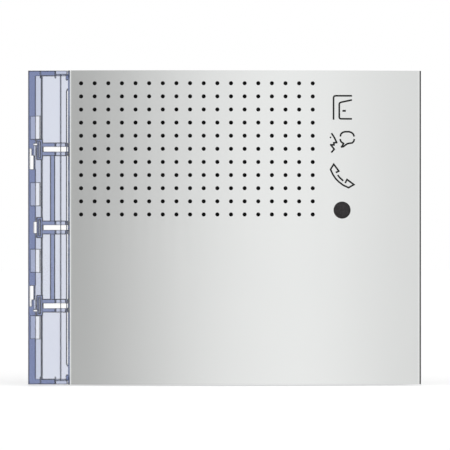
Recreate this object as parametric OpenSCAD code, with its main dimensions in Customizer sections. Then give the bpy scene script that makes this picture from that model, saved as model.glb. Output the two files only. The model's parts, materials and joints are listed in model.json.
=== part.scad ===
// Door intercom panel: a snap-in speaker module with a perforated metal faceplate on a
// translucent carrier. Every sub-part is drawn lying on its back, x to the right, y up the
// panel and z from the back face towards the visitor; stand_up() then turns it to +Z up,
// facing -Y, with the origin at the centre of the back face.

/* [Panel] */
// Overall width of the panel
panel_w = 115; // [110:1:122]
// Overall height of the panel
panel_h = 91.8; // [91:0.2:96]
// Depth from the back face to the crown of the faceplate
panel_d = 34; // [34:0.5:38]

/* [Faceplate] */
// Width of the strip of carrier left of the faceplate
strip_w = 11.7; // [11.7:0.1:12.5]
// Thickness of the metal faceplate
plate_t = 1.4; // [1:0.1:1.5]
// Radius of the faceplate's curve about a vertical axis
crown_r = 525; // [500:25:700]
// Place of the crown of that curve, from the panel's centre line
crown_x = -10; // [-15:1:-5]
// Depth of the rim folded back round the faceplate
rim_d = 4.2; // [3:0.1:4.2]

/* [Speaker grille] */
// Holes in a row of the grille
grille_columns = 18; // [10:1:18]
// Rows of holes in the grille
grille_rows = 11; // [6:1:11]
// Distance between columns of holes
column_pitch = 3.98; // [3.5:0.01:4]
// Distance between rows of holes
row_pitch = 3.83; // [3.5:0.01:4]
// Diameter of a grille hole
grille_hole_d = 1.2; // [1:0.1:1.4]

/* [Speaker] */
// Diameter of the loudspeaker's flange
speaker_d = 36; // [36:0.5:37]
// Stroke of the cone each way from rest
cone_stroke = 0.5; // [0.3:0.1:0.5]

/* [Fixing] */
// Distance between the fixing inserts, across
fixing_w = 86; // [85:0.5:86]
// Distance between the fixing inserts, up
fixing_h = 64; // [62:1:64]
// Minor diameter of the thread in an insert
insert_bore_d = 2.5; // [2.4:0.1:2.6]

/* [Terminals] */
// Poles of the plug-in terminal block
poles = 4; // [2:1:4]
// Distance between poles
pole_pitch = 5.08; // [5:0.01:5.08]

/* [Hidden] */

eps = 0.01;
gap = 0.3;
round_fn = 48;
hole_fn = 24;
arc_fn = 720;

// Panel outline
left = -panel_w / 2;
right = panel_w / 2;
half_h = panel_h / 2;
plate_left = left + strip_w;

// Levels of the front cover, measured from the back face
carrier_back = 24.1;
strip_front = 31.1;
web_back = 26.7;
web_front = 28.2;
carrier_wall = 1.45;
cloth_t = 0.4;
diffuser_t = 1;
skin_gap = 0.05;

// Strip left of the faceplate: rail, shelf, thin wall, web and lip, from left to right
rail_right = left + 2.25;
shelf_right = left + 3.78;
wall_right = left + 4.06;
shelf_t = 2.3;
lip_x = plate_left - 0.47;
lip_w = 0.3;
lip_end = 40.6;
tick_x = [-53.9, -49.65];
slot_half = 0.71;
rib_rows = [[0.7, 1.9], [21.06, 22.25], [23.6, 24.8]];
catch_y = 22.85;
catch_half = 2.95;
catch_left = -55.05;
finger_left = -56;
finger_w = 0.46;
finger_end = 17.05;

// Levels of the module behind the cover
housing_top = 19.6;
seal_t = 0.4;
shell_skirt = housing_top + seal_t;
deck_back = 21.8;
deck_front = 23.8;
shell_wall = 2;
module_left = -43.5;
module_right = 55.5;
module_half_h = 43.5;
module_x = (module_left + module_right) / 2;
board_back = 14;
board_front = 15.6;

// Grille
grille_left = -41.95;
grille_bottom = 3.82;
grille_top = grille_bottom + (grille_rows - 1) * row_pitch;
grille_right = grille_left + (grille_columns - 1) * column_pitch;

// Speaker, centred behind the grille
speaker_x = -8;
speaker_y = 23;
speaker_r = speaker_d / 2;
flange_back = 19.6;
flange_front = 20.4;
yoke_r = 8.6;
yoke_back = 12.4;
turned_fn = 96;
retainer_back = 18.4;
retainer_reach = 22.4;

// Microphone and indicators
microphone_x = 34.3;
microphone_y = 5.1;
port_r = 2.5;
icon_x = 34.5;
icon_y = [35, 25, 14];
stroke_w = 0.5;

// Corner bosses and board fixings
boss_r = 3.4;
corner_x = [-39.4, 51.4];
corner_y = [-39.4, 39.4];
board_fix_x = [-36, 48];
board_fix_y = [-22, 0];
tongue_x = [-33, 38];
insert_r = 2.25;
insert_depth = 6;

// Fitted pieces of the lower half
volume_y = -18;
speaker_volume_x = -22;
microphone_volume_x = -8;
button_x = 8;

// Terminal block, low in the middle of the back
plug_half_w = 10.6;
plug_bottom = -41;
plug_top = -30;
plug_back = 0.6;
plug_front = 9;
pole_screw_y = -37;
pin_y = -31.9;
pin_w = 1;
screw_head_r = 1.7;
screw_shank_r = 1.2;
cage_rest = 3.9;
cage_wall = 0.7;

// Configurator socket, beside the speaker's magnet on the back
configurator_x = [4, 20];
configurator_y = [8, 14];

// Link sockets, in the upper corners of the back
link_x = [-25, 31];
link_y = 30;
link_pitch = 2.54;

function span(middle, half) = [middle - half, middle + half];

function pole_x(i) = (i - (poles - 1) / 2) * pole_pitch;

// ---------- Helpers ----------

module stand_up() {
  rotate([90, 0, 0]) children();
}

// A box between two places on each axis
module block(x, y, z) {
  translate([x[0], y[0], z[0]]) cube([x[1] - x[0], y[1] - y[0], z[1] - z[0]]);
}

// A round bar or disc along z
module disc(x, y, r, z, fn = round_fn) {
  translate([x, y, z[0]]) cylinder(r = r, h = z[1] - z[0], $fn = fn);
}

// A ring along z
module ring(x, y, r_out, r_in, z) {
  difference() {
    disc(x, y, r_out, z);
    disc(x, y, r_in, [z[0] - 1, z[1] + 1]);
  }
}

// A rectangle with round corners, extruded
module rounded_slab(x, y, r, z) {
  translate([0, 0, z[0]]) linear_extrude(height = z[1] - z[0]) {
    translate([x[0] + r, y[0]]) square([x[1] - x[0] - 2 * r, y[1] - y[0]]);
    translate([x[0], y[0] + r]) square([x[1] - x[0], y[1] - y[0] - 2 * r]);
    for (cx = [x[0] + r, x[1] - r], cy = [y[0] + r, y[1] - r])
      translate([cx, cy]) circle(r = r, $fn = round_fn);
  }
}

// Draws its children at the four fixing inserts
module at_fixings() {
  for (sx = [-1, 1], sy = [-1, 1])
    translate([module_x + sx * fixing_w / 2, sy * fixing_h / 2, 0]) children();
}

// Draws its children again, upside down in y
module both_halves() {
  children();
  mirror([0, 1, 0]) children();
}

// Section of a skin that follows the faceplate's curve: from_front and to_front are
// depths below the faceplate's front surface
module curved_section(from_front, to_front) {
  translate([crown_x, panel_d - crown_r]) difference() {
    circle(r = crown_r - from_front, $fn = arc_fn);
    circle(r = crown_r - to_front, $fn = arc_fn);
  }
}

// A section drawn in x and depth, run along y
module along_y(y) {
  translate([0, y[1], 0]) rotate([90, 0, 0]) linear_extrude(height = y[1] - y[0]) children();
}

// Everything below a depth under the faceplate's front surface
module under_crown(depth) {
  translate([crown_x, 0, panel_d - crown_r]) rotate([90, 0, 0])
    cylinder(r = crown_r - depth, h = 2 * panel_h, center = true, $fn = arc_fn);
}

// ---------- Pictograms cut through the faceplate ----------

function unit(v) = v / norm(v);
function heading(p, i) = unit(p[min(i + 1, len(p) - 1)] - p[min(i, len(p) - 2)]);
function left_of(v) = [-v[1], v[0]];

// Offset of point i from the stroke's middle line, with a mitred corner
function corner_shift(p, i) =
  let (a = left_of(heading(p, max(i - 1, 0))), b = left_of(i == 0 ? heading(p, 0) : heading(p, i)))
  (a + b) / (1 + a * b);

module stroke(p, width = stroke_w) {
  half = width / 2;
  last = len(p) - 1;
  polygon(concat(
    [for (i = [0 : last]) p[i] + half * corner_shift(p, i)],
    [for (i = [last : -1 : 0]) p[i] - half * corner_shift(p, i)]));
}

module door_icon() {
  // Door frame
  stroke([[31.8, 31.5], [31.8, 38], [31.95, 38.35], [32.3, 38.5], [37.2, 38.5]]);
  // Door leaf, ajar, and its handle
  stroke([[37.2, 37.3], [33.95, 36.6], [33.6, 36.4], [33.47, 36.1], [33.47, 32.2], [33.6, 31.9],
    [33.9, 31.78], [37.2, 31.76]]);
  stroke([[34.4, 34.1], [35.4, 34.1]], 0.56);
}

module talk_icon() {
  // Face in profile: brow, nose, lip, mouth, chin and eye
  stroke([[31.17, 27.58], [32.04, 26.28], [32.79, 24.71]]);
  stroke([[32.92, 24.84], [31.75, 24.76]]);
  stroke([[31.83, 24.97], [31.96, 24.06]]);
  stroke([[32.17, 24.13], [30.78, 24.19]]);
  stroke([[30.86, 24.34], [32.04, 22.83]]);
  stroke([[32.11, 22.98], [31.12, 21.91]]);
  translate([30.91, 26.35]) circle(d = 0.5, $fn = hole_fn);
  // Speech bubble: upper arc, lower left arc, and the tail with the lower right arc
  stroke([[33.76, 26.59], [33.94, 27.27], [34.36, 27.74], [35.09, 28], [36.4, 28], [37.13, 27.74],
    [37.6, 27.27], [37.88, 26.59]]);
  stroke([[33.73, 25.88], [33.84, 25.36], [34.2, 24.89], [34.78, 24.58]]);
  stroke([[34.86, 24.75], [34.05, 23.4]]);
  stroke([[33.9, 23.55], [34.62, 23.61], [35.74, 24.45], [36.4, 24.63], [37.23, 24.71], [37.7, 25.18],
    [37.91, 25.88]]);
}

module phone_icon() {
  stroke([[32.45, 16.05], [33.35, 16.5], [31.85, 18.5], [30.92, 16.97], [31.6, 15.5], [32.4, 14.3],
    [33.4, 13.3], [34.6, 12.4], [36.2, 11.65], [37.75, 12.55], [35.75, 14.05], [35.2, 13]]);
  stroke([[32.98, 15.35], [33.7, 14.5], [34.65, 13.65]]);
}

// ---------- Front cover ----------

// Outline of the faceplate in x and depth, with both long edges bevelled
module plate_bounds() {
  polygon([[plate_left, 20], [plate_left, 31.85], [plate_left + 0.55, 32.6], [plate_left + 1.05, 32.9],
    [plate_left + 1.4, panel_d + 2], [right - 1, panel_d + 2], [right - 1, 29.6],
    [right - 0.42, 29.38], [right, 28.75], [right, 20]]);
}

module faceplate() {
  rim_t = 1;
  color("silver") stand_up() difference() {
    union() {
      along_y([-half_h, half_h]) intersection() {
        curved_section(0, plate_t);
        plate_bounds();
      }
      along_y([-half_h, half_h]) intersection() {
        curved_section(plate_t - 0.2, rim_d);
        translate([right - rim_t, 20]) square([rim_t, 8.7]);
      }
      both_halves() along_y([half_h - rim_t, half_h]) intersection() {
        curved_section(plate_t - 0.2, rim_d);
        translate([plate_left, 20]) square([right - rim_t / 2 - plate_left, 20]);
      }
    }
    for (i = [0 : grille_columns - 1], j = [0 : grille_rows - 1])
      disc(grille_left + column_pitch * i, grille_bottom + row_pitch * j, grille_hole_d / 2,
        [25, 40], hole_fn);
    disc(microphone_x, microphone_y, port_r, [25, 40]);
    translate([0, 0, 25]) linear_extrude(height = 15) {
      door_icon();
      talk_icon();
      phone_icon();
    }
  }
}

// Solid parts of the strip, for the upper half and, mirrored, the lower half
module strip_solids() {
  tick = 0.12;
  rib_deep = [carrier_back, strip_front - 0.7];
  rib_shallow = [web_back - 0.8, web_front + 0.7];
  tick_z = [carrier_back, strip_front - 0.4];
  band_y = [half_h - 1.43, half_h];
  ledge = [plate_left + 0.3, plate_left + 3];
  // Outer rail, drafted on its inner side, and the thinner shelf beside it
  along_y([0, half_h]) polygon([[left, carrier_back], [left, strip_front], [rail_right, strip_front],
    [rail_right - 0.4, carrier_back]]);
  block([rail_right - 1, shelf_right + eps], [0, half_h], [strip_front - shelf_t, strip_front]);
  // Thin wall between the shelf and the web, a little lower than the shelf
  block([shelf_right, wall_right], [0, half_h], [web_back, strip_front - 0.4]);
  // Web, and the ledge under the faceplate, with a narrow gap left between them
  block([wall_right - eps, lip_x], [0, half_h - 1], [web_back, web_front]);
  block(ledge, [0, half_h - 1], [web_back, web_front]);
  block([lip_x - eps, ledge[0] + eps], [lip_end, half_h - 1], [web_back, web_front]);
  // Lip along the faceplate's edge, with its end turned in
  translate([0, 0, carrier_back]) linear_extrude(height = strip_front + 0.2 - carrier_back)
    stroke([[lip_x, 0], [lip_x, lip_end - 0.7], [plate_left + 0.1, lip_end]], lip_w);
  // Top band, thinner over the right of the web
  block([left, tick_x[1]], band_y, [carrier_back, strip_front]);
  block([tick_x[1] - eps, plate_left - 0.15], band_y, [strip_front - 3.4, strip_front - 0.4]);
  block([lip_x, plate_left - 0.15], band_y, [web_back, strip_front - 0.4]);
  for (x = tick_x) block(span(x, tick), [half_h - 2.1, half_h], [web_back, strip_front + 0.3]);
  // Ribs on each side of the crossbar slots: deep on the left, shallow on the right
  for (y = rib_rows) {
    block([wall_right - eps, tick_x[1]], y, rib_deep);
    block([tick_x[1] - eps, lip_x], y, rib_shallow);
    block(span(tick_x[1], tick), y, tick_z);
    block([lip_x - 0.4, lip_x], y, tick_z);
    block([lip_x - eps, ledge[0] + eps], y, [web_back, web_front]);
  }
  // Upright rib of the middle bay
  block([-51.13, -49.87], [rib_rows[0][1] - eps, rib_rows[1][0] + eps], [carrier_back, strip_front - 1.2]);
}

// The crossbar slots, the catches and the thin windows cut out of the upper half
module strip_cuts() {
  behind = carrier_back - 1;
  through = [behind, strip_front + 1];
  // Crossbar slots
  for (y = [[-eps, slot_half], [catch_y + 0.08 - slot_half, catch_y + 0.08 + slot_half]])
    block([-53.1, lip_x - 0.1], y, through);
  // Thin windows in the rail and in the shelf, with a fine step in the shelf's
  for (y = [[25.85, 32.65], [6.35, 13.15]]) {
    block([left + 0.5, rail_right - 0.1], y, [behind, strip_front - 4.2]);
    block([rail_right - 0.1 - eps, -54.15], y, [behind, strip_front - 0.85]);
    block([-54.15 - eps, -53.85], y, [behind, strip_front - 1.15]);
  }
  // Pockets for the frames of the catches
  for (y = [[-eps, catch_half], span(catch_y, catch_half)]) block([catch_left, wall_right], y, through);
  // Slot of the middle catch
  block([-55.86, catch_left + 0.1], [-eps, 1.65], through);
  // Slots that free the spring finger from the rail
  block([-57.05, -56.55], [20.8, 23.1], through);
  block([-57.05, finger_left], [finger_end, 20.95], through);
  block([-56.57, finger_left], [20.8, 21.05], through);
  // The finger: a thin root, and a narrow dark bar a step lower than the rail
  block([finger_left + 0.03, catch_left + 0.1], [21, 24], [behind, strip_front - 2.6]);
  block([finger_left + finger_w, catch_left + 0.1], [finger_end, 21.1], [behind, strip_front - shelf_t]);
  block([finger_left - 0.1, finger_left + finger_w], [finger_end, 20.9],
    [strip_front - 0.5, strip_front + 1]);
}

// Frame of a catch, a step lower than the strip round it, with a narrow thin panel
module catch_frame(y) {
  lap = 0.03;
  front = strip_front - 0.6;
  slit = [-54.45, -54.05];
  difference() {
    block([catch_left - lap, wall_right + lap], span(y, catch_half + lap), [carrier_back, front]);
    block(slit, span(y, catch_half - 0.5), [front - 0.5, front + 1]);
    block(slit, span(y, catch_half - 0.5), [carrier_back - 1, front - 3]);
  }
}

module strip() {
  both_halves() difference() {
    union() {
      difference() {
        strip_solids();
        strip_cuts();
      }
      catch_frame(catch_y);
    }
    // Slot above the spring finger
    block([-55.95, -54.9], [24.13, 24.52], [carrier_back - 1, strip_front + 1]);
  }
  catch_frame(0);
  // Fine rib down the back of the web
  block([-48.27, -48.03], [1 - half_h, half_h - 1], [web_back - 1.7, web_back + 0.1]);
}

// Frame under the faceplate: border, walls up to the skin, two bars and four tongues
module carrier_frame() {
  wall_out = half_h - 1.2;
  wall_in = wall_out - carrier_wall;
  right_out = right - 1.2;
  intersection() {
    union() {
      both_halves() {
        block([plate_left - 0.7, right_out], [wall_in, wall_out], [carrier_back, 40]);
        block([plate_left, right_out], [41.6, wall_in + eps], [web_back, web_front]);
      }
      block([right_out - carrier_wall, right_out], [-wall_out, wall_out], [carrier_back, 40]);
      block([50, right_out - carrier_wall + eps], [-wall_in, wall_in], [web_back, web_front]);
      block([plate_left + 1, right_out], [-2.6, -0.8], [web_back - 1, 40]);
      block([27.2, 28.4], [-1, wall_in + eps], [web_back - 1, 40]);
      for (x = [-20, 15]) block([x, x + 1.4], [-42, -2.5], [web_front - 1.6, 40]);
    }
    under_crown(plate_t + skin_gap);
    block([left, right], [-half_h, half_h], [carrier_back, 33]);
  }
  both_halves() for (x = tongue_x) {
    block([x, x + 6], [39.2, 41.7], [web_back, web_front]);
    block([x, x + 6], [39.4, 40.8], [20.3, web_back + eps]);
  }
}

module cover_carrier() {
  color([0.72, 0.76, 0.88, 0.7]) stand_up() {
    strip();
    difference() {
      carrier_frame();
      // Passages for the cloth and the diffuser strip behind the faceplate
      block([-44.6, 27.6], [0.1, 43.1], [web_front + 0.6, 40]);
      block([29.7, 40.4], [0.1, 40.6], [web_front + 0.6, 40]);
    }
  }
}

module acoustic_cloth() {
  color([0.05, 0.05, 0.05]) stand_up() along_y([grille_bottom - 2.4, grille_top + 0.9])
    intersection() {
      curved_section(plate_t + skin_gap, plate_t + skin_gap + cloth_t);
      translate([grille_left - 2.4, 20]) square([grille_right - grille_left + 4, 20]);
    }
}

module icon_diffuser() {
  color([0.15, 0.15, 0.16]) stand_up() along_y([9.8, 40.4]) intersection() {
    curved_section(plate_t + skin_gap, plate_t + skin_gap + diffuser_t);
    translate([30, 20]) square([9.6, 20]);
  }
}

module microphone_foam() {
  color([0.23, 0.22, 0.22]) stand_up() {
    difference() {
      along_y([microphone_y - 3.6, microphone_y + 3.6]) intersection() {
        curved_section(plate_t + skin_gap, plate_t + skin_gap + cloth_t);
        translate([microphone_x - 3.6, 20]) square([7.2, 20]);
      }
      disc(microphone_x, microphone_y, port_r - 0.6, [20, 40]);
    }
    disc(microphone_x, microphone_y, port_r - 0.1, [30.45, 31.5]);
  }
}

// ---------- Module shells ----------

module front_shell() {
  skirt = [shell_skirt, deck_back + eps];
  x = [module_left, module_right];
  y = [-module_half_h, module_half_h];
  duct_front = 31.3;
  color([0.2, 0.2, 0.21]) stand_up() difference() {
    union() {
      rounded_slab(x, y, 2, [deck_back, deck_front]);
      difference() {
        rounded_slab(x, y, 2, skirt);
        rounded_slab(x + [shell_wall, -shell_wall], y + [shell_wall, -shell_wall], 1,
          [shell_skirt - 1, deck_back + 1]);
      }
      // Sound duct towards the grille
      disc(speaker_x, speaker_y, speaker_r - 1.4, [deck_back, duct_front]);
      // Bosses for the housing screws
      for (cx = corner_x, cy = corner_y) disc(cx, cy, boss_r, [shell_skirt, deck_back + eps]);
      // Bosses for the speaker retainer
      for (side = [-1, 1])
        disc(speaker_x + retainer_reach * side, speaker_y, 2.4, [housing_top, deck_back + eps]);
    }
    disc(speaker_x, speaker_y, 15, [shell_skirt - 1, duct_front + 1]);
    for (cx = corner_x, cy = corner_y) disc(cx, cy, 1.5, [shell_skirt - 1, 23]);
    for (side = [-1, 1]) disc(speaker_x + retainer_reach * side, speaker_y, 1.05, [housing_top - 1, 23]);
    // Microphone seat and light pipe holes
    disc(microphone_x, microphone_y, 5.6, [shell_skirt - 1, 40]);
    for (y = icon_y) block([icon_x - 2.3, icon_x + 2.3], [y - 1.6, y + 1.6], [shell_skirt - 1, 40]);
    // Openings for the volume trimmers and the programming button
    for (cx = [speaker_volume_x, microphone_volume_x]) disc(cx, volume_y, 3.4, [shell_skirt - 1, 40]);
    disc(button_x, volume_y, 2.1, [shell_skirt - 1, 40]);
    // Slots that take the cover's tongues
    both_halves() for (cx = tongue_x) block([cx - gap, cx + 6 + gap], [39.1, 41.1], [deck_back - 1, 40]);
  }
}

module perimeter_seal() {
  color([0.08, 0.08, 0.08]) stand_up() difference() {
    rounded_slab([module_left + 0.3, module_right - 0.3], [-module_half_h + 0.3, module_half_h - 0.3], 2,
      [housing_top, shell_skirt]);
    rounded_slab([module_left + 1.8, module_right - 1.8], [-module_half_h + 1.8, module_half_h - 1.8], 1,
      [housing_top - 1, shell_skirt + 1]);
  }
}

module rear_housing() {
  x = [module_left, module_right];
  y = [-module_half_h, module_half_h];
  floor_t = 2;
  color([0.16, 0.16, 0.17]) stand_up() difference() {
    union() {
      difference() {
        rounded_slab(x, y, 2, [0, housing_top]);
        rounded_slab(x + [shell_wall, -shell_wall], y + [shell_wall, -shell_wall], 1,
          [floor_t, housing_top + 1]);
      }
      for (cx = corner_x, cy = corner_y) disc(cx, cy, boss_r, [0, housing_top]);
      for (cx = board_fix_x, cy = board_fix_y) disc(cx, cy, 2.6, [0, board_back]);
      at_fixings() disc(0, 0, insert_r + 0.95, [0, insert_depth + 2]);
      // Collar round the terminal plug
      block([-13, 13], [-module_half_h, -28], [0, 9.2]);
    }
    for (cx = corner_x, cy = corner_y) {
      disc(cx, cy, 1.6, [-1, housing_top + 1]);
      disc(cx, cy, 3, [-1, 2.4]);
    }
    for (cx = board_fix_x, cy = board_fix_y) disc(cx, cy, 1.05, [4, board_back + 1]);
    at_fixings() disc(0, 0, insert_r + 0.05, [-1, insert_depth]);
    // Bay of the terminal plug, open behind and below for the wires
    block([-11, 11], [-module_half_h - 1, -29.6], [-1, 10]);
    // Windows for the link sockets
    for (cx = link_x) block([cx - 8.3, cx + 8.3], [link_y - 3.6, link_y + 3.6], [-1, floor_t + 1]);
    // Window for the configurator socket
    block(configurator_x + [-gap, gap], configurator_y + [-gap, gap], [-1, floor_t + 1]);
  }
}

module housing_screws() {
  color("dimgray") stand_up() for (cx = corner_x, cy = corner_y) difference() {
    union() {
      disc(cx, cy, 2.8, [0.5, 2.4]);
      disc(cx, cy, 1.45, [2.3, 22.4]);
    }
    // Cross recess
    for (turn = [20, 110]) translate([cx, cy, 0.4]) rotate([0, 0, turn])
      block([-1.7, 1.7], [-0.3, 0.3], [0, 1.2]);
  }
}

module fixing_inserts() {
  color("gold") stand_up() at_fixings() ring(0, 0, insert_r, insert_bore_d / 2, [0, insert_depth]);
}

// ---------- Board and what is soldered to it ----------

module main_board() {
  color("darkgreen") stand_up() difference() {
    rounded_slab([-41.2, 53.2], [-41.2, 41.2], 1, [board_back, board_front]);
    for (cx = corner_x, cy = corner_y) disc(cx, cy, boss_r + 0.4, [board_back - 1, board_front + 1]);
    disc(speaker_x, speaker_y, yoke_r + 4.4, [board_back - 1, board_front + 1]);
    for (cx = board_fix_x, cy = board_fix_y) disc(cx, cy, 1.3, [board_back - 1, board_front + 1], hole_fn);
    for (i = [0 : poles - 1]) disc(pole_x(i), pin_y, 0.8, [board_back - 1, board_front + 1], hole_fn);
  }
}

module board_screws() {
  color("lightgray") stand_up() for (cx = board_fix_x, cy = board_fix_y) difference() {
    union() {
      disc(cx, cy, 2.2, [board_front, board_front + 1.5]);
      disc(cx, cy, 1, [8, board_front + eps]);
    }
    // Cross recess
    for (turn = [30, 120]) translate([cx, cy, board_front + 0.6]) rotate([0, 0, turn])
      block([-1.3, 1.3], [-0.25, 0.25], [0, 2]);
  }
}

module processor_chip() {
  color([0.1, 0.1, 0.11]) stand_up() {
    block([25, 35], [-33, -23], [board_front + 0.1, board_front + 1.5]);
    for (i = [0 : 10], side = [0, 1]) {
      block([25.35 + 0.9 * i, 25.65 + 0.9 * i], [-34 + side * 11, -33 + side * 11],
        [board_front, board_front + 0.5]);
      block([24 + side * 11, 25 + side * 11], [-32.65 + 0.9 * i, -32.35 + 0.9 * i],
        [board_front, board_front + 0.5]);
    }
  }
}

module small_chips() {
  color([0.12, 0.12, 0.12]) stand_up() for (place = [[40, -30], [40, -20], [-30, -32]]) {
    block(span(place[0], 2), span(place[1], 2.5), [board_front + 0.1, board_front + 1.6]);
    for (i = [-1.5 : 1 : 1.5], side = [-1, 1])
      block(span(place[0] + side * 2.6, 0.6), span(place[1] + i * 1.27, 0.2),
        [board_front, board_front + 0.5]);
  }
}

module chip_components() {
  chip_z = [board_front, board_front + 0.6];
  color([0.6, 0.5, 0.35]) stand_up() {
    for (i = [0 : 5], j = [0 : 2])
      block(span(8.8 + 2.6 * i, 0.8), span(-35.6 + 2.2 * j, 0.4), chip_z);
    for (i = [0 : 3], j = [0 : 2])
      block(span(42.4 + 2.4 * i, 0.4), span(12.8 + 3 * j, 0.8), chip_z);
  }
}

module electrolytic_capacitors() {
  color([0.15, 0.2, 0.35]) stand_up() for (place = [[-33, -12], [-33, 6], [-20, -30]])
    difference() {
      disc(place[0], place[1], 4, [3.5, board_back]);
      ring(place[0], place[1], 4.4, 3.7, [11.6, 12.3]);
    }
}

module lock_relay() {
  color([0.1, 0.25, 0.5]) stand_up() difference() {
    block([18, 33], [-40, -30], [4, board_back]);
    block([19, 32], [-39, -31], [3, 4.3]);
  }
}

module bus_inductor() {
  color([0.5, 0.3, 0.15]) stand_up() translate([42, -14, 8]) rotate([0, 90, 0]) {
    difference() {
      cylinder(r = 5.4, h = 5, center = true, $fn = round_fn);
      cylinder(r = 2.4, h = 6, center = true, $fn = round_fn);
    }
    for (a = [60 : 30 : 300]) rotate([0, 0, a]) translate([3.9, 0, 0]) difference() {
      cube([4, 0.7, 6], center = true);
      cube([3.02, 1, 5.02], center = true);
    }
  }
}

module configurator_socket() {
  color([0.85, 0.85, 0.82]) stand_up() difference() {
    block(configurator_x, configurator_y, [1, board_back]);
    for (i = [-2 : 2]) block(span(12 + 3 * i, 0.6), configurator_y + [1, -1], [0, 8]);
  }
}

module indicator_leds() {
  color([0.95, 0.95, 0.85]) stand_up() for (y = icon_y) {
    block([icon_x - 1.6, icon_x + 1.6], [y - 1.4, y + 1.4], [board_front, board_front + 1.4]);
    disc(icon_x, y, 1.1, [board_front + 1.3, board_front + 1.9]);
  }
}

module light_pipes() {
  color([0.9, 0.95, 1, 0.6]) stand_up() for (y = icon_y) {
    disc(icon_x, y, 1.4, [board_front + 2.1, 26]);
    block([icon_x - 3, icon_x + 3], [y - 2.2, y + 2.2], [deck_back - 1.2, deck_back]);
    block([icon_x - 2, icon_x + 2], [y - 1.3, y + 1.3], [deck_back - eps, deck_front + 0.2]);
    disc(icon_x, y, 2.6, [26 - eps, 28.6]);
  }
}

// ---------- Microphone ----------

module microphone_boot() {
  color([0.07, 0.07, 0.07]) stand_up() difference() {
    union() {
      disc(microphone_x, microphone_y, 5.5, [20.4, 29.2]);
      disc(microphone_x, microphone_y, 6.6, [deck_front, deck_front + 1]);
    }
    disc(microphone_x, microphone_y, 3, [19, 27.9]);
    disc(microphone_x, microphone_y, 2, [27, 31]);
  }
}

module microphone_capsule() {
  color("silver") stand_up() {
    ring(microphone_x, microphone_y, 2.95, 2.6, [25.4, 27.8]);
    disc(microphone_x, microphone_y, 2.7, [25.2, 27.6]);
    for (side = [-1, 1]) disc(microphone_x + side * 1.27, microphone_y, 0.25, [board_front, 25.3], hole_fn);
  }
}

// ---------- Loudspeaker ----------

module at_speaker() {
  stand_up() translate([speaker_x, speaker_y, 0]) children();
}

// A turned part of the speaker: its section is given as radius and depth
module turned(section) {
  rotate_extrude($fn = turned_fn) polygon(section);
}

module cylinder_at(r, z) {
  translate([0, 0, z[0]]) cylinder(r = r, h = z[1] - z[0], $fn = turned_fn);
}

module speaker_basket() {
  color("gray") at_speaker() difference() {
    turned([[yoke_r + 0.02, 15.4], [12, 15.4], [17.2, 18.4], [17.2, flange_back], [speaker_r, flange_back],
      [speaker_r, flange_front], [16.2, flange_front], [16.2, 18.9], [11.6, 16.2], [yoke_r + 0.02, 16.2]]);
    for (a = [45 : 90 : 315]) rotate([0, 0, a]) block([10, 15.5], [-3.2, 3.2], [15, 19]);
  }
}

module speaker_yoke() {
  color("lightgray") at_speaker() turned([[0, yoke_back], [yoke_r, yoke_back], [yoke_r, 17.4],
    [7.4, 17.4], [7.4, 13.6], [0, 13.6]]);
}

module speaker_magnet() {
  color("dimgray") at_speaker() cylinder_at(6, [13.6, 16]);
}

module speaker_top_plate() {
  color("lightgray") at_speaker() cylinder_at(6.2, [16, 17.2]);
}

module speaker_spider() {
  color("sienna") at_speaker() turned([[7.35, 18.15], [8.6, 18.45], [9.8, 18.15], [11, 18.45],
    [12.2, 18.15], [15.2, 18.35], [15.2, 18.55], [12.2, 18.35], [11, 18.65], [9.8, 18.35],
    [8.6, 18.65], [7.35, 18.35]]);
}

module speaker_surround() {
  roll = [for (a = [0 : 15 : 180]) [15.5 + 0.75 * cos(a), 20.7 + 0.6 * sin(a)]];
  roll_under = [for (a = [180 : -15 : 0]) [15.5 + 0.45 * cos(a), 20.7 + 0.35 * sin(a)]];
  color([0.12, 0.12, 0.12]) at_speaker() turned(concat([[17.6, flange_front], [17.6, 20.7]], roll,
    [[14.6, 20.7], [14.6, flange_front]], roll_under, [[16.2, flange_front]]));
}

module speaker_cone() {
  color([0.2, 0.2, 0.2]) at_speaker() turned([[6.8, 19], [7.2, 19], [14.4, 20.35], [14.4, 20.7],
    [7.2, 19.35], [6.8, 19.35]]);
}

module dust_cap() {
  dome = [for (a = [90 : -15 : 0]) [7.2 * cos(a), 19.35 + 1.4 * sin(a)]];
  dome_under = [for (a = [0 : 15 : 90]) [6.9 * cos(a), 19.35 + 1.1 * sin(a)]];
  color([0.15, 0.15, 0.15]) at_speaker() turned(concat(dome, dome_under));
}

module voice_coil() {
  color("orangered") at_speaker() {
    turned([[6.5, 14.6], [6.8, 14.6], [6.8, 19.35], [6.5, 19.35]]);
    turned([[6.8, 14.9], [7.05, 14.9], [7.05, 17.1], [6.8, 17.1]]);
  }
}

module speaker_gasket() {
  color([0.1, 0.1, 0.1]) stand_up() ring(speaker_x, speaker_y, speaker_r, 16.5, [20.7, deck_back]);
}

module speaker_retainer() {
  color([0.25, 0.25, 0.26]) stand_up() difference() {
    union() {
      disc(speaker_x, speaker_y, 18.2, [retainer_back, flange_back]);
      for (side = [-1, 1])
        disc(speaker_x + retainer_reach * side, speaker_y, 2.8, [retainer_back, flange_back]);
      block(span(speaker_x, retainer_reach), span(speaker_y, 2), [retainer_back, flange_back]);
    }
    disc(speaker_x, speaker_y, 17.3, [18, 20]);
    for (side = [-1, 1]) disc(speaker_x + retainer_reach * side, speaker_y, 1.15, [18, 20]);
  }
}

module retainer_screws() {
  color("lightgray") stand_up() for (side = [-1, 1]) {
    disc(speaker_x + retainer_reach * side, speaker_y, 2, [17, retainer_back]);
    disc(speaker_x + retainer_reach * side, speaker_y, 1, [18.3, 22.6]);
  }
}

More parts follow.
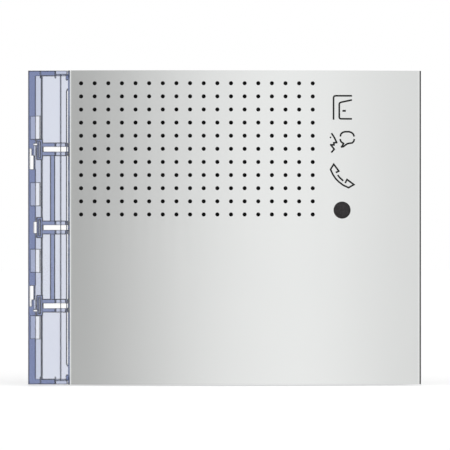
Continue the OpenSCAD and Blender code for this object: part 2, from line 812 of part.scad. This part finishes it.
// Two insulated wires from the basket's tags down to the board
module speaker_leads() {
  wire_r = 0.45;
  color("firebrick") stand_up() for (side = [-1, 1]) {
    bend = [speaker_x + 2 * side, 2.6];
    disc(bend[0], bend[1], wire_r, [board_front, 17.4], hole_fn);
    translate([bend[0], bend[1], 17.4]) sphere(r = wire_r, $fn = hole_fn);
    translate([bend[0], bend[1], 17.4]) rotate([-90, 0, 0]) cylinder(r = wire_r, h = 3.4, $fn = hole_fn);
  }
}

// ---------- Controls ----------

module volume_body(x) {
  stand_up() difference() {
    block(span(x, 3.3), span(volume_y, 3.3), [board_front, 19.4]);
    disc(x, volume_y, 2.5, [17.5, 20]);
  }
}

module volume_rotor(x) {
  stand_up() difference() {
    union() {
      disc(x, volume_y, 2.45, [17.55, 19.5]);
      disc(x, volume_y, 2, [19.4, deck_front + 0.4]);
      disc(x, volume_y, 3, [22.6, 24.2]);
    }
    block(span(x, 2.4), span(volume_y, 0.35), [23.4, 25]);
    translate([x, volume_y + 2.3, 0]) disc(0, 0, 0.35, [23.9, 25], hole_fn);
  }
}

module speaker_volume_body() {
  color([0.1, 0.3, 0.6]) volume_body(speaker_volume_x);
}

module speaker_volume_rotor() {
  color("white") volume_rotor(speaker_volume_x);
}

module microphone_volume_body() {
  color([0.1, 0.3, 0.6]) volume_body(microphone_volume_x);
}

module microphone_volume_rotor() {
  color("white") volume_rotor(microphone_volume_x);
}

module programming_switch() {
  color([0.15, 0.15, 0.15]) stand_up() difference() {
    block(span(button_x, 3), span(volume_y, 3), [board_front, 19]);
    disc(button_x, volume_y, 1.8, [16.8, 20]);
  }
}

module programming_button() {
  color("gainsboro") stand_up() {
    disc(button_x, volume_y, 1.75, [17.5, 24]);
    disc(button_x, volume_y, 2.6, [19.7, 21.2]);
  }
}

// ---------- Links to the neighbouring modules ----------

module link_socket(x) {
  color([0.9, 0.9, 0.86]) stand_up() difference() {
    block(span(x, 8), span(link_y, 3.3), [0.8, board_back]);
    block(span(x, 7), span(link_y, 2.3), [0, 8.6]);
    block(span(x, 2), [link_y + 1, link_y + 4], [0, 6]);
  }
}

module link_socket_in() {
  link_socket(link_x[0]);
}

module link_socket_out() {
  link_socket(link_x[1]);
}

module link_pins() {
  color("gold") stand_up() for (x = link_x, i = [-2 : 2])
    block(span(x + i * link_pitch, 0.32), span(link_y, 0.32), [3, 8.6 + eps]);
}

// ---------- Plug-in terminals ----------

module terminal_header() {
  color([0.1, 0.35, 0.2]) stand_up() difference() {
    block([-plug_half_w, plug_half_w], [-34.4, -29.7], [10.2, board_back]);
    for (i = [0 : poles - 1]) block(span(pole_x(i), pin_w / 2), span(pin_y, pin_w / 2), [9, 15]);
  }
}

module header_pins() {
  color("gold") stand_up() for (i = [0 : poles - 1])
    block(span(pole_x(i), pin_w / 2), span(pin_y, pin_w / 2), [3.4, board_front - 0.2]);
}

module terminal_plug() {
  color([0.1, 0.5, 0.25]) stand_up() difference() {
    block([-plug_half_w, plug_half_w], [plug_bottom, plug_top], [plug_back, plug_front]);
    for (i = [0 : poles - 1]) {
      // Cage room, wire entry, screw bore and pin passage of one pole
      block(span(pole_x(i), 2), [-39.9, -33.6], [2.2, 8.5]);
      block(span(pole_x(i), 1.5), [plug_bottom - 1, -39], [4.4, 7.4]);
      disc(pole_x(i), pole_screw_y, screw_head_r + 0.1, [0, 3]);
      block(span(pole_x(i), 0.8), span(pin_y, 0.8), [2.6, 10]);
      block(span(pole_x(i), 1), [-34, -32], [4.7, 5.2]);
    }
    // Grip ridges along the upper edge
    for (x = [-8 : 4 : 8]) block(span(x, 0.6), [plug_top - 0.5, plug_top + 1], [plug_back - 1, 5]);
  }
}

module plug_contacts() {
  color("goldenrod") stand_up() for (i = [0 : poles - 1])
    block(span(pole_x(i), 1), [-39.4, -32.7], [4.7, 5.2]);
}

module terminal_screw(i) {
  if (i < poles) color("lightgray") stand_up() translate([pole_x(i), pole_screw_y, 0]) difference() {
    union() {
      disc(0, 0, screw_head_r, [0.8, 2.3]);
      disc(0, 0, screw_shank_r, [2.2, 4.6]);
    }
    block([-2, 2], [-0.3, 0.3], [0, 1.5]);
  }
}

module clamp_cage(i) {
  cage = [cage_rest, cage_rest + 4.2];
  if (i < poles) color("silver") stand_up() translate([pole_x(i), pole_screw_y, 0]) difference() {
    block([-1.75, 1.75], [-2.6, 2.6], cage);
    block(span(0, screw_shank_r + 0.1), [-3, 3], cage + [cage_wall, -cage_wall]);
    disc(0, 0, screw_shank_r + 0.05, [0, cage_rest + 1]);
  }
}

module terminal_screw_1() {
  terminal_screw(0);
}

module terminal_screw_2() {
  terminal_screw(1);
}

module terminal_screw_3() {
  terminal_screw(2);
}

module terminal_screw_4() {
  terminal_screw(3);
}

module clamp_cage_1() {
  clamp_cage(0);
}

module clamp_cage_2() {
  clamp_cage(1);
}

module clamp_cage_3() {
  clamp_cage(2);
}

module clamp_cage_4() {
  clamp_cage(3);
}

// ---------- Assembly ----------

faceplate();
cover_carrier();
acoustic_cloth();
icon_diffuser();
microphone_foam();
front_shell();
perimeter_seal();
rear_housing();
housing_screws();
fixing_inserts();
main_board();
board_screws();
speaker_basket();
speaker_yoke();
speaker_magnet();
speaker_top_plate();
speaker_spider();
speaker_surround();
speaker_cone();
dust_cap();
voice_coil();
speaker_gasket();
speaker_retainer();
retainer_screws();
speaker_leads();
microphone_boot();
microphone_capsule();
indicator_leds();
light_pipes();
processor_chip();
small_chips();
chip_components();
electrolytic_capacitors();
lock_relay();
bus_inductor();
configurator_socket();
speaker_volume_body();
speaker_volume_rotor();
microphone_volume_body();
microphone_volume_rotor();
programming_switch();
programming_button();
link_socket_in();
link_socket_out();
link_pins();
terminal_header();
header_pins();
terminal_plug();
plug_contacts();
terminal_screw_1();
terminal_screw_2();
terminal_screw_3();
terminal_screw_4();
clamp_cage_1();
clamp_cage_2();
clamp_cage_3();
clamp_cage_4();
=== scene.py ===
"""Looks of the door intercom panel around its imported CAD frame: metres, +Z up, its face towards -Y."""
import json
import math

import bpy
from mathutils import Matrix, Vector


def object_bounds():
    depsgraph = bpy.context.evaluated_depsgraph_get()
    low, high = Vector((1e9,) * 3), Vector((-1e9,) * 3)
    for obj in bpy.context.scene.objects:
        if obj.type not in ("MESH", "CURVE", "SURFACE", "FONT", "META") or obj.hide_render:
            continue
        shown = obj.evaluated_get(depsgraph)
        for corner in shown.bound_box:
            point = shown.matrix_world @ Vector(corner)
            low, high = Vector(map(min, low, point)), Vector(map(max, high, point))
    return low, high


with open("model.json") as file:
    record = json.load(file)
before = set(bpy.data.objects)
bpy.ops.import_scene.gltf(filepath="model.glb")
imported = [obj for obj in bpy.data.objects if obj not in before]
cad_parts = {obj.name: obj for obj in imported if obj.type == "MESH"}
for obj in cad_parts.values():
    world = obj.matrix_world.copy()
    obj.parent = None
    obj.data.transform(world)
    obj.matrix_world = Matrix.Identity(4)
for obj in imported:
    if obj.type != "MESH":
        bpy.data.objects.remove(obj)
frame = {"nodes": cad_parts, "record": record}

CAD_LOW, CAD_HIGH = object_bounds()
NODES = frame["nodes"]

# Sockets of the Mix node when it mixes colours
MIX_AMOUNT, MIX_A, MIX_B, MIX_RESULT = 0, 6, 7, 2

# ---------------------------------------------------------------- node helpers


class Graph:
    """Short names for the shader nodes of one material, or of the world."""

    def __init__(self, owner, output):
        owner.use_nodes = True
        self.owner = owner
        self.tree = owner.node_tree
        self.tree.nodes.clear()
        self.output = self.node(output)

    def node(self, kind, **settings):
        made = self.tree.nodes.new("ShaderNode" + kind)
        for key, value in settings.items():
            setattr(made, key, value)
        return made

    def put(self, source, socket):
        """Links a socket, or sets a plain value."""
        if isinstance(source, bpy.types.NodeSocket):
            self.tree.links.new(source, socket)
        else:
            socket.default_value = source

    def position(self):
        return self.node("TexCoord").outputs["Object"]

    def stretched(self, scale):
        mapping = self.node("Mapping")
        self.put(self.position(), mapping.inputs["Vector"])
        mapping.inputs["Scale"].default_value = scale
        return mapping.outputs["Vector"]

    def noise(self, size, detail=3.0, stretch=(1, 1, 1)):
        """Noise with features about size metres across, from 0 to 1."""
        made = self.node("TexNoise")
        self.put(self.stretched(stretch), made.inputs["Vector"])
        made.inputs["Scale"].default_value = 1.0 / size
        made.inputs["Detail"].default_value = detail
        made.inputs["Roughness"].default_value = 0.55
        return made.outputs["Fac"]

    def math(self, operation, *values):
        made = self.node("Math", operation=operation)
        for value, socket in zip(values, made.inputs):
            self.put(value, socket)
        return made.outputs[0]

    def spread(self, value, low, high, start=0.0, stop=1.0):
        """Maps start to low and stop to high, evenly in between."""
        made = self.node("MapRange")
        self.put(value, made.inputs["Value"])
        made.inputs["From Min"].default_value = start
        made.inputs["From Max"].default_value = stop
        made.inputs["To Min"].default_value = low
        made.inputs["To Max"].default_value = high
        return made.outputs["Result"]

    def blend(self, amount, a, b):
        made = self.node("Mix", data_type="RGBA")
        self.put(amount, made.inputs[MIX_AMOUNT])
        self.put(a, made.inputs[MIX_A])
        self.put(b, made.inputs[MIX_B])
        return made.outputs[MIX_RESULT]

    def mix_shaders(self, amount, a, b):
        made = self.node("MixShader")
        for value, socket in zip((amount, a, b), made.inputs):
            self.put(value, socket)
        return made.outputs[0]

    def bump(self, height, depth, strength):
        made = self.node("Bump")
        made.inputs["Strength"].default_value = strength
        made.inputs["Distance"].default_value = depth
        self.put(height, made.inputs["Height"])
        return made.outputs["Normal"]

    def edge(self, radius, full=0.75, none=0.99):
        """1 on edges of the shape and 0 on its faces; full and none are cosines between the two normals."""
        rounded = self.node("Bevel", samples=6)
        rounded.inputs["Radius"].default_value = radius
        flat = self.node("NewGeometry")
        dot = self.node("VectorMath", operation="DOT_PRODUCT")
        self.put(rounded.outputs["Normal"], dot.inputs[0])
        self.put(flat.outputs["Normal"], dot.inputs[1])
        return self.spread(dot.outputs["Value"], 1.0, 0.0, full, none)

    def principled(self, **values):
        made = self.node("BsdfPrincipled")
        for key, value in values.items():
            self.put(value, made.inputs[key.replace("_", " ")])
        self.put(made.outputs["BSDF"], self.output.inputs["Surface"])
        return made


def material_graph(name):
    """An empty new material of this name."""
    return Graph(bpy.data.materials.new(name), "OutputMaterial")


def rgb(r, g, b):
    return (r, g, b, 1.0)


def shade(colour, factor):
    """The colour made darker or lighter."""
    return (*[min(1.0, c * factor) for c in colour[:3]], 1.0)


# ---------------------------------------------------------------- materials


def satin_metal():
    """Pale metal with fine horizontal brushing, a finer grain and faint clouding."""
    g = material_graph("satin_metal")
    streaks = g.noise(0.00022, 4.0, (0.02, 1, 1))
    grain = g.noise(0.00009, 2.0)
    cloud = g.noise(0.03, 2.0)
    height = g.math("ADD", g.math("MULTIPLY", streaks, 0.6), g.math("MULTIPLY", grain, 0.4))
    tone = g.math("MULTIPLY_ADD", streaks, 0.35, g.math("MULTIPLY", cloud, 0.65))
    colour = g.blend(tone, rgb(0.90, 0.915, 0.905), rgb(0.945, 0.955, 0.945))
    g.principled(Base_Color=colour, Metallic=1.0, Roughness=g.spread(height, 0.13, 0.21),
                 Normal=g.bump(height, 0.000012, 0.5))
    return g.owner


def translucent_carrier():
    """Clear lavender polycarbonate: darker where thicker, with painted shade on side faces and a painted
    dark shade line along its edges.
    """
    g = material_graph("translucent_carrier")
    normal = g.node("NewGeometry").outputs["Normal"]
    parts = g.node("SeparateXYZ")
    g.put(normal, parts.inputs[0])
    facing = g.math("ABSOLUTE", parts.outputs["Y"])
    face = g.spread(facing, 0.0, 1.0, 0.25, 0.75)
    flow = g.noise(0.004, 2.0, (1, 1, 0.3))
    # Painted shade: a fine dark line along every edge of the carrier, standing in for the shade seen at its
    # edges
    painted_edge_shade = g.edge(0.00032, full=0.9, none=0.999)
    clear = g.blend(flow, rgb(0.95, 0.96, 0.99), rgb(1.0, 1.0, 1.0))
    # Painted shade: faces turned sideways, away from front and back, get a darker slate tint
    painted_side_shade = g.blend(face, rgb(0.58, 0.62, 0.72), clear)
    # Colour of the painted edge shade line
    dark = rgb(0.018, 0.022, 0.034)
    shader = g.principled(Base_Color=g.blend(painted_edge_shade, painted_side_shade, dark), Roughness=g.spread(flow, 0.03, 0.09),
                          IOR=1.5, Normal=g.bump(flow, 0.00002, 0.4))
    # Painted shade: along the edges the plastic lets almost no light through
    g.put(g.spread(painted_edge_shade, 1.0, 0.08), shader.inputs["Transmission Weight"])
    absorb = g.node("VolumeAbsorption")
    # Lavender that takes away about a fifth of the green light in each millimetre
    absorb.inputs["Color"].default_value = rgb(0.25, 0.333, 0.583)
    absorb.inputs["Density"].default_value = 300.0
    g.put(absorb.outputs["Volume"], g.output.inputs["Volume"])
    return g.owner


def moulded(name, colour, roughness=0.5, texture=0.00025, depth=0.00001, worn=1.6):
    """Moulded plastic with a fine spark texture, faint clouding and slightly paler edges."""
    g = material_graph(name)
    grain = g.noise(texture, 3.0)
    cloud = g.noise(0.012, 3.0)
    base = g.blend(cloud, shade(colour, 0.85), shade(colour, 1.15))
    worn_edge = g.edge(0.0004)
    tinted = g.blend(g.math("MULTIPLY", worn_edge, 0.5), base, shade(colour, worn))
    g.principled(Base_Color=tinted, Roughness=g.spread(cloud, roughness - 0.07, roughness + 0.09),
                 Normal=g.bump(grain, depth, 0.6))
    return g.owner


def metal(name, colour, roughness=0.3):
    """Plated or turned metal with fine tool marks and faint tarnish."""
    g = material_graph(name)
    marks = g.noise(0.00015, 4.0)
    tarnish = g.noise(0.004, 4.0)
    base = g.blend(g.spread(tarnish, 0.0, 1.0, 0.4, 0.75), shade(colour, 1.0), shade(colour, 0.72))
    g.principled(Base_Color=base, Metallic=1.0, Normal=g.bump(marks, 0.000008, 0.5),
                 Roughness=g.spread(marks, roughness - 0.08, roughness + 0.12))
    return g.owner


def woven(name, colour, thread=0.00022):
    """Plain weave: two crossed waves that repeat every 2 pi times thread, with a little fuzz; painted shade
    in the dips between threads and painted highlight on their crests.
    """
    g = material_graph(name)
    waves = []
    for direction in ("X", "Z"):
        wave = g.node("TexWave", bands_direction=direction)
        wave.inputs["Scale"].default_value = 1.0 / (thread * 20)
        wave.inputs["Distortion"].default_value = 0.4
        g.put(g.position(), wave.inputs["Vector"])
        waves.append(wave.outputs["Fac"])
    weave = g.math("MULTIPLY", waves[0], waves[1])
    fuzz = g.noise(0.0004, 3.0)
    # Painted shade and highlight: darker in the dips of the weave, paler on the thread crests
    base = g.blend(weave, shade(colour, 0.5), shade(colour, 1.4))
    g.principled(Base_Color=g.blend(g.math("MULTIPLY", fuzz, 0.4), base, shade(colour, 0.8)),
                 Roughness=0.9, Normal=g.bump(weave, 0.00006, 0.8))
    return g.owner


def foam(name, colour):
    """Open-cell foam: small round pores, with painted shade inside them."""
    g = material_graph(name)
    pore_spacing = 0.0003125
    cells = g.node("TexVoronoi")
    cells.inputs["Scale"].default_value = 1.0 / pore_spacing
    g.put(g.position(), cells.inputs["Vector"])
    pores = cells.outputs["Distance"]
    # Painted shade: darker down in the pores, paler on the cell walls between them
    base = g.blend(g.spread(pores, 0.0, 1.0, 0.1, 0.7), shade(colour, 0.45), shade(colour, 1.25))
    g.principled(Base_Color=base, Roughness=0.95, Normal=g.bump(pores, 0.00012, 0.8))
    return g.owner


def smoked(name, colour):
    """Dark diffusing plastic behind the pictograms."""
    g = material_graph(name)
    haze = g.noise(0.0006, 2.0)
    g.principled(Base_Color=g.blend(haze, shade(colour, 0.8), shade(colour, 1.2)),
                 Roughness=g.spread(haze, 0.35, 0.5), Normal=g.bump(haze, 0.00001, 0.4))
    return g.owner


def clear_plastic(name, tint):
    """Clear light-guide plastic with a little haze."""
    g = material_graph(name)
    haze = g.noise(0.0008, 2.0)
    shader = g.principled(Base_Color=g.blend(haze, shade(tint, 0.92), tint),
                          Roughness=g.spread(haze, 0.04, 0.12), IOR=1.49)
    shader.inputs["Transmission Weight"].default_value = 0.9
    return g.owner


def board_laminate():
    """Green solder resist, paler over the copper tracks beneath it."""
    g = material_graph("board_laminate")
    tracks = g.node("TexBrick", offset=0.5, squash=1.0)
    tracks.inputs["Scale"].default_value = 1.0
    tracks.inputs["Brick Width"].default_value = 0.009
    tracks.inputs["Row Height"].default_value = 0.0017
    tracks.inputs["Mortar Size"].default_value = 0.00022
    flat = g.node("Mapping")
    g.put(g.position(), flat.inputs["Vector"])
    flat.inputs["Rotation"].default_value = (math.radians(90), 0, 0)
    g.put(flat.outputs["Vector"], tracks.inputs["Vector"])
    weave = g.noise(0.0006, 3.0)
    resist = g.blend(weave, rgb(0.010, 0.085, 0.035), rgb(0.016, 0.12, 0.05))
    copper = rgb(0.035, 0.21, 0.075)
    mask = tracks.outputs["Fac"]
    g.principled(Base_Color=g.blend(mask, resist, copper), Roughness=g.spread(weave, 0.22, 0.38),
                 Normal=g.bump(mask, 0.00003, 0.6))
    return g.owner


def wound_copper():
    """Enamelled winding wire, with painted shade in the grooves between turns and painted highlight on their
    crests.
    """
    g = material_graph("copper")
    wave = g.node("TexWave", bands_direction="DIAGONAL")
    wave.inputs["Scale"].default_value = 260.0
    wave.inputs["Distortion"].default_value = 0.3
    g.put(g.position(), wave.inputs["Vector"])
    turns = wave.outputs["Fac"]
    # Painted shade and highlight: darker in the grooves between turns, paler on their crests
    g.principled(Base_Color=g.blend(turns, rgb(0.35, 0.11, 0.04), rgb(0.78, 0.34, 0.16)), Metallic=0.85,
                 Roughness=g.spread(turns, 0.28, 0.42), Normal=g.bump(turns, 0.00006, 0.7))
    return g.owner


SLOT_MATERIALS = {
    "satin_metal": satin_metal,
    "translucent_carrier": translucent_carrier,
    "black_cloth": lambda: woven("black_cloth", rgb(0.012, 0.012, 0.013)),
    "smoked_diffuser": lambda: smoked("smoked_diffuser", rgb(0.016, 0.018, 0.0175)),
    "dark_foam": lambda: foam("dark_foam", rgb(0.045, 0.041, 0.043)),
    "dark_plastic": lambda: moulded("dark_plastic", rgb(0.035, 0.036, 0.04)),
    "black_rubber": lambda: moulded("black_rubber", rgb(0.014, 0.014, 0.015), 0.72, 0.0004, 0.00002),
    "zinc_steel": lambda: metal("zinc_steel", rgb(0.62, 0.63, 0.65)),
    "brass": lambda: metal("brass", rgb(0.80, 0.60, 0.28), 0.28),
    "board_laminate": board_laminate,
    "magnet": lambda: metal("magnet", rgb(0.42, 0.42, 0.44), 0.34),
    "tan_cloth": lambda: woven("tan_cloth", rgb(0.42, 0.27, 0.13), 0.0003),
    "black_film": lambda: moulded("black_film", rgb(0.03, 0.03, 0.034), 0.34, 0.0015, 0.00003),
    "copper": wound_copper,
    "wire_insulation": lambda: moulded("wire_insulation", rgb(0.5, 0.04, 0.03), 0.4),
    "aluminium_can": lambda: metal("aluminium_can", rgb(0.75, 0.76, 0.77), 0.26),
    "led_lens": lambda: clear_plastic("led_lens", rgb(0.95, 0.93, 0.82)),
    "clear_plastic": lambda: clear_plastic("clear_plastic", rgb(0.93, 0.96, 0.98)),
    "chip_resin": lambda: moulded("chip_resin", rgb(0.02, 0.02, 0.021), 0.6),
    "ceramic_chip": lambda: moulded("ceramic_chip", rgb(0.42, 0.33, 0.22), 0.5),
    "capacitor_sleeve": lambda: moulded("capacitor_sleeve", rgb(0.02, 0.04, 0.13), 0.3),
    "relay_case": lambda: moulded("relay_case", rgb(0.03, 0.09, 0.3), 0.35),
    "ivory_plastic": lambda: moulded("ivory_plastic", rgb(0.74, 0.71, 0.62), 0.42, worn=1.15),
    "trimmer_blue": lambda: moulded("trimmer_blue", rgb(0.03, 0.12, 0.42), 0.38),
    "black_plastic": lambda: moulded("black_plastic", rgb(0.02, 0.02, 0.021), 0.4),
    "grey_plastic": lambda: moulded("grey_plastic", rgb(0.5, 0.5, 0.5), 0.42, worn=1.2),
    "gold_plate": lambda: metal("gold_plate", rgb(0.90, 0.66, 0.26), 0.2),
    "terminal_green": lambda: moulded("terminal_green", rgb(0.02, 0.22, 0.08), 0.4),
}


def dress_nodes():
    """Gives every CAD node the finished material of its slot."""
    made = {}
    for part in frame["record"]["subparts"]:
        slot = part["material_slot"]
        if slot not in made:
            made[slot] = SLOT_MATERIALS[slot]()
        data = NODES[part["node"]].data
        data.materials.clear()
        data.materials.append(made[slot])


# ---------------------------------------------------------------- studio


# Brightness of the surroundings: degrees to the right of straight in front of the panel, and level
SURROUNDINGS = [
    (-180, 1.0), (-166, 1.0),
    (-155, 0.02), (-97, 0.02),
    (-88, 0.80), (-62, 0.80),
    (-50, 0.30), (-22, 0.30),
    (-10, 0.385), (0, 0.79), (8, 0.935), (17, 0.72), (26, 0.63),
    (38, 0.80), (88, 0.80),
    (97, 0.02), (155, 0.02),
    (166, 1.0), (180, 1.0),
]


def brightness_ramp(g):
    """A colour ramp over one whole turn, with the levels of SURROUNDINGS."""
    ramp = g.node("ValToRGB")
    ramp.color_ramp.interpolation = "LINEAR"
    elements = ramp.color_ramp.elements
    while len(elements) > 1:
        elements.remove(elements[-1])
    for place, (degrees, level) in enumerate(SURROUNDINGS):
        spot = (degrees + 180) / 360
        element = elements[0] if place == 0 else elements.new(spot)
        element.position = spot
        element.color = rgb(level, level, level)
    return ramp


def studio_world():
    """Soft light from in front and behind, dark flags at both sides, and white where it's seen directly."""
    world = bpy.data.worlds.new("studio")
    bpy.context.scene.world = world
    g = Graph(world, "OutputWorld")
    parts = g.node("SeparateXYZ")
    g.put(g.node("TexCoord").outputs["Generated"], parts.inputs[0])
    azimuth = g.math("ARCTAN2", parts.outputs["X"], g.math("MULTIPLY", parts.outputs["Y"], -1.0))
    ramp = brightness_ramp(g)
    g.put(g.math("DIVIDE", g.math("ADD", azimuth, math.pi), 2 * math.pi), ramp.inputs["Fac"])
    lit = g.node("Background")
    g.put(ramp.outputs["Color"], lit.inputs["Color"])
    seen = g.node("Background")
    seen.inputs["Color"].default_value = rgb(1, 1, 1)
    path = g.node("LightPath").outputs
    direct = g.math("MAXIMUM", path["Is Camera Ray"], path["Is Transmission Ray"])
    g.put(g.mix_shaders(direct, lit.outputs[0], seen.outputs[0]), g.output.inputs["Surface"])


def floor():
    """Plain pale floor just under the panel, left out of reflections so the metal mirrors only the light."""
    g = material_graph("floor")
    diffuse = g.node("BsdfDiffuse")
    diffuse.inputs["Color"].default_value = rgb(0.9, 0.9, 0.9)
    glow = g.node("Emission")
    glow.inputs["Strength"].default_value = 0.62
    pale = g.node("AddShader")
    g.put(diffuse.outputs[0], pale.inputs[0])
    g.put(glow.outputs[0], pale.inputs[1])
    reflected = g.node("LightPath").outputs["Is Glossy Ray"]
    clear = g.node("BsdfTransparent")
    g.put(g.mix_shaders(reflected, pale.outputs[0], clear.outputs[0]), g.output.inputs["Surface"])
    half = 3.0
    clearance = 0.0005
    level = CAD_LOW.z - clearance
    corners = [(-half, -half, level), (half, -half, level), (half, half, level), (-half, half, level)]
    mesh = bpy.data.meshes.new("floor")
    mesh.from_pydata(corners, [], [(0, 1, 2, 3)])
    mesh.materials.append(g.owner)
    plane = bpy.data.objects.new("floor", mesh)
    bpy.context.scene.collection.objects.link(plane)


def camera():
    """Straight in front of the faceplate, far off with a long lens, so the sides hardly show."""
    distance = 1.2
    right_of_middle = 0.00008
    above_middle = 0.00074
    data = bpy.data.cameras.new("camera")
    data.lens = 329.0
    data.sensor_width = 36.0
    eye = bpy.data.objects.new("camera", data)
    eye.location = (right_of_middle, CAD_LOW.y - distance, above_middle)
    eye.rotation_euler = (math.radians(90), 0, 0)
    bpy.context.scene.collection.objects.link(eye)
    bpy.context.scene.camera = eye


def main():
    dress_nodes()
    studio_world()
    floor()
    camera()
    scene = bpy.context.scene
    scene.view_settings.view_transform = "Standard"
    scene.view_settings.look = "None"


main()
